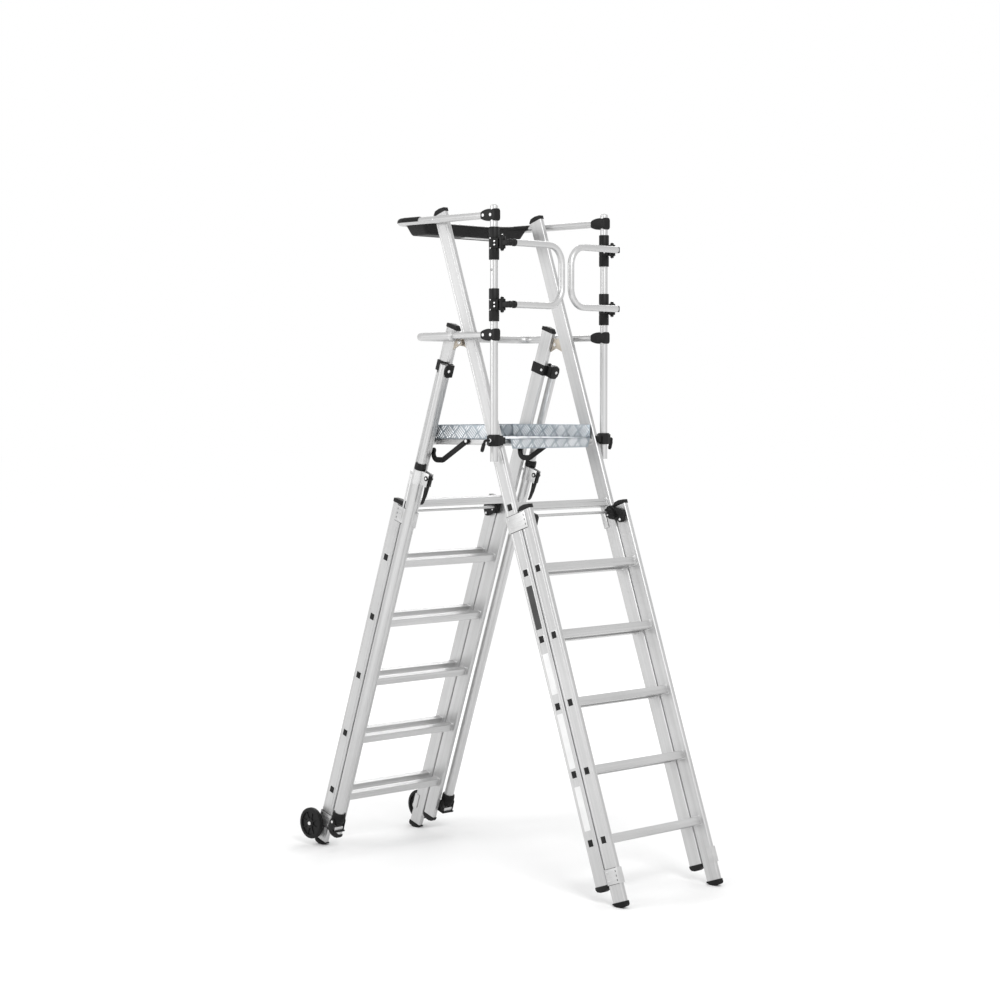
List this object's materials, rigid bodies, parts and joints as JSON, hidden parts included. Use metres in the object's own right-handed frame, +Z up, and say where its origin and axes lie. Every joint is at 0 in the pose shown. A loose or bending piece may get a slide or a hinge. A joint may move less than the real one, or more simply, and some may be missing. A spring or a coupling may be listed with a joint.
{
  "type": "platform stepladder",
  "caption": "Double-sided telescopic aluminium platform stepladder with guardrail, half gates, tool tray, outriggers and tip-and-roll wheels.",
  "frame": {"origin": "on the floor under the middle of the whole object", "axes": "+X along the rungs, -Y the climbing side with the gates, +Z up"},
  "size_m": [0.794, 1.933, 2.7985],
  "materials": {
    "aluminium": "satin extruded and brushed along its length",
    "deck_plate": "raised checker plate",
    "black_plastic": "moulded, fine grain",
    "rubber": "moulded rubber",
    "tyre": "solid moulded wheel"
  },
  "bodies": {
    "front_upper": {"front_upper_stile_left": "aluminium", "front_upper_stile_right": "aluminium", "front_upper_rung_1": "aluminium", "front_upper_rung_2": "aluminium", "front_upper_rung_3": "aluminium", "front_upper_rung_4": "aluminium", "front_upper_rung_5": "aluminium", "front_upper_rung_6": "aluminium", "front_upper_rung_7": "aluminium", "guard_post_left": "aluminium", "guard_post_right": "aluminium", "top_guardrail": "aluminium", "mid_guardrail": "aluminium", "tool_tray": "black_plastic"},
    "front_lower": {"front_lower_stile_left": "aluminium", "front_lower_stile_right": "aluminium", "front_lower_rung_1": "aluminium", "front_lower_rung_2": "aluminium", "front_lower_rung_3": "aluminium", "front_lower_rung_4": "aluminium", "front_lower_rung_5": "aluminium", "front_foot_left": "rubber", "front_foot_right": "rubber"},
    "front_lock": {"front_lock_bar": "black_plastic"},
    "rear_upper": {"rear_upper_stile_left": "aluminium", "rear_upper_stile_right": "aluminium", "rear_upper_rung_1": "aluminium", "rear_upper_rung_2": "aluminium", "rear_upper_rung_3": "aluminium", "rear_upper_rung_4": "aluminium", "rear_upper_rung_5": "aluminium", "rear_upper_rung_6": "aluminium", "rear_upper_rung_7": "aluminium"},
    "rear_lower": {"rear_lower_stile_left": "aluminium", "rear_lower_stile_right": "aluminium", "rear_lower_rung_1": "aluminium", "rear_lower_rung_2": "aluminium", "rear_lower_rung_3": "aluminium", "rear_lower_rung_4": "aluminium", "rear_lower_rung_5": "aluminium", "rear_foot_left": "rubber", "rear_foot_right": "rubber"},
    "rear_lock": {"rear_lock_bar": "black_plastic"},
    "platform": {"platform_deck": "deck_plate"},
    "hook_left": {"platform_hook_left": "black_plastic"},
    "gate_left": {"gate_left": "aluminium"},
    "clamp_lever_left": {"clamp_lever_left": "black_plastic"},
    "outrigger_arm_left": {"outrigger_inner_left": "aluminium"},
    "outrigger_leg_left": {"outrigger_outer_left": "aluminium"},
    "outrigger_lever_left": {"outrigger_lever_left": "black_plastic"},
    "outrigger_shoe_left": {"outrigger_shoe_left": "rubber"},
    "wheel_left": {"wheel_left": "tyre"},
    "hook_right": {"platform_hook_right": "black_plastic"},
    "gate_right": {"gate_right": "aluminium"},
    "clamp_lever_right": {"clamp_lever_right": "black_plastic"},
    "outrigger_arm_right": {"outrigger_inner_right": "aluminium"},
    "outrigger_leg_right": {"outrigger_outer_right": "aluminium"},
    "outrigger_lever_right": {"outrigger_lever_right": "black_plastic"},
    "outrigger_shoe_right": {"outrigger_shoe_right": "rubber"},
    "wheel_right": {"wheel_right": "tyre"}
  },
  "joints": [
    {"name": "front_extend", "type": "slide", "parent": "front_upper", "child": "front_lower", "axis": [0, -0.3239, -0.9461], "range_m": [0, 0.84]},
    {"name": "front_lock_turn", "type": "hinge", "parent": "front_lower", "child": "front_lock", "pos_m": [0, -0.43053, 1.52301], "axis": [1, 0, 0], "range_deg": [0, 20], "stiffness_Nm_per_rad": 0.6},
    {"name": "rear_fold", "type": "hinge", "parent": "front_upper", "child": "rear_upper", "pos_m": [0, -0.02943, 2.24005], "axis": [-1, 0, 0], "range_deg": [0, 36]},
    {"name": "rear_extend", "type": "slide", "parent": "rear_upper", "child": "rear_lower", "axis": [0, 0.3239, -0.9461], "range_m": [0, 0.84]},
    {"name": "rear_lock_turn", "type": "hinge", "parent": "rear_lower", "child": "rear_lock", "pos_m": [0, 0.37166, 1.52301], "axis": [-1, 0, 0], "range_deg": [0, 20], "stiffness_Nm_per_rad": 0.6},
    {"name": "platform_lift", "type": "hinge", "parent": "front_upper", "child": "platform", "pos_m": [0, -0.23769, 1.82386], "axis": [1, 0, 0], "range_deg": [0, 58]},
    {"name": "hook_left_swing", "type": "hinge", "parent": "platform", "child": "hook_left", "pos_m": [-0.264, -0.03944, 1.827], "axis": [-1, 0, 0], "range_deg": [0, 145]},
    {"name": "gate_left_swing", "type": "hinge", "parent": "front_upper", "child": "gate_left", "pos_m": [-0.333, -0.31644, 2.517], "axis": [0, 0, 1], "range_deg": [0, 80], "stiffness_Nm_per_rad": 0.8},
    {"name": "clamp_lever_left_turn", "type": "hinge", "parent": "front_upper", "child": "clamp_lever_left", "pos_m": [-0.372, -0.26944, 1.833], "axis": [-1, 0, 0], "range_deg": [0, 120]},
    {"name": "outrigger_left_swing", "type": "hinge", "parent": "rear_upper", "child": "outrigger_arm_left", "pos_m": [-0.335, 0.03059, 2.1271], "axis": [0, 0.9461, 0.3239], "range_deg": [0, 30]},
    {"name": "outrigger_left_extend", "type": "slide", "parent": "outrigger_arm_left", "child": "outrigger_leg_left", "axis": [0, 0.3239, -0.9461], "range_m": [0, 0.45]},
    {"name": "outrigger_lever_left_turn", "type": "hinge", "parent": "outrigger_leg_left", "child": "outrigger_lever_left", "pos_m": [-0.327, 0.12961, 1.66655], "axis": [-1, 0, 0], "range_deg": [0, 95]},
    {"name": "outrigger_shoe_left_tilt", "type": "hinge", "parent": "outrigger_leg_left", "child": "outrigger_shoe_left", "pos_m": [-0.335, 0.70499, 0.15735], "axis": [1, 0, 0], "range_deg": [-30, 30]},
    {"name": "wheel_left_spin", "type": "hinge", "parent": "rear_lower", "child": "wheel_left", "pos_m": [-0.332, 0.89668, 0.09699], "axis": [1, 0, 0], "continuous": true},
    {"name": "hook_right_swing", "type": "hinge", "parent": "platform", "child": "hook_right", "pos_m": [0.264, -0.03944, 1.827], "axis": [-1, 0, 0], "range_deg": [0, 145]},
    {"name": "gate_right_swing", "type": "hinge", "parent": "front_upper", "child": "gate_right", "pos_m": [0.333, -0.31644, 2.517], "axis": [0, 0, -1], "range_deg": [0, 80], "stiffness_Nm_per_rad": 0.8},
    {"name": "clamp_lever_right_turn", "type": "hinge", "parent": "front_upper", "child": "clamp_lever_right", "pos_m": [0.372, -0.26944, 1.833], "axis": [-1, 0, 0], "range_deg": [0, 120]},
    {"name": "outrigger_right_swing", "type": "hinge", "parent": "rear_upper", "child": "outrigger_arm_right", "pos_m": [0.335, 0.03059, 2.1271], "axis": [0, -0.9461, -0.3239], "range_deg": [0, 30]},
    {"name": "outrigger_right_extend", "type": "slide", "parent": "outrigger_arm_right", "child": "outrigger_leg_right", "axis": [0, 0.3239, -0.9461], "range_m": [0, 0.45]},
    {"name": "outrigger_lever_right_turn", "type": "hinge", "parent": "outrigger_leg_right", "child": "outrigger_lever_right", "pos_m": [0.327, 0.12961, 1.66655], "axis": [-1, 0, 0], "range_deg": [0, 95]},
    {"name": "outrigger_shoe_right_tilt", "type": "hinge", "parent": "outrigger_leg_right", "child": "outrigger_shoe_right", "pos_m": [0.335, 0.70499, 0.15735], "axis": [1, 0, 0], "range_deg": [-30, 30]},
    {"name": "wheel_right_spin", "type": "hinge", "parent": "rear_lower", "child": "wheel_right", "pos_m": [0.332, 0.89668, 0.09699], "axis": [1, 0, 0], "continuous": true}
  ],
  "couplings": [
    {"joint": "platform_lift", "follows": "rear_fold", "ratio": 1.5},
    {"joint": "hook_left_swing", "follows": "rear_fold", "ratio": 3.95},
    {"joint": "hook_right_swing", "follows": "rear_fold", "ratio": 3.95}
  ]
}
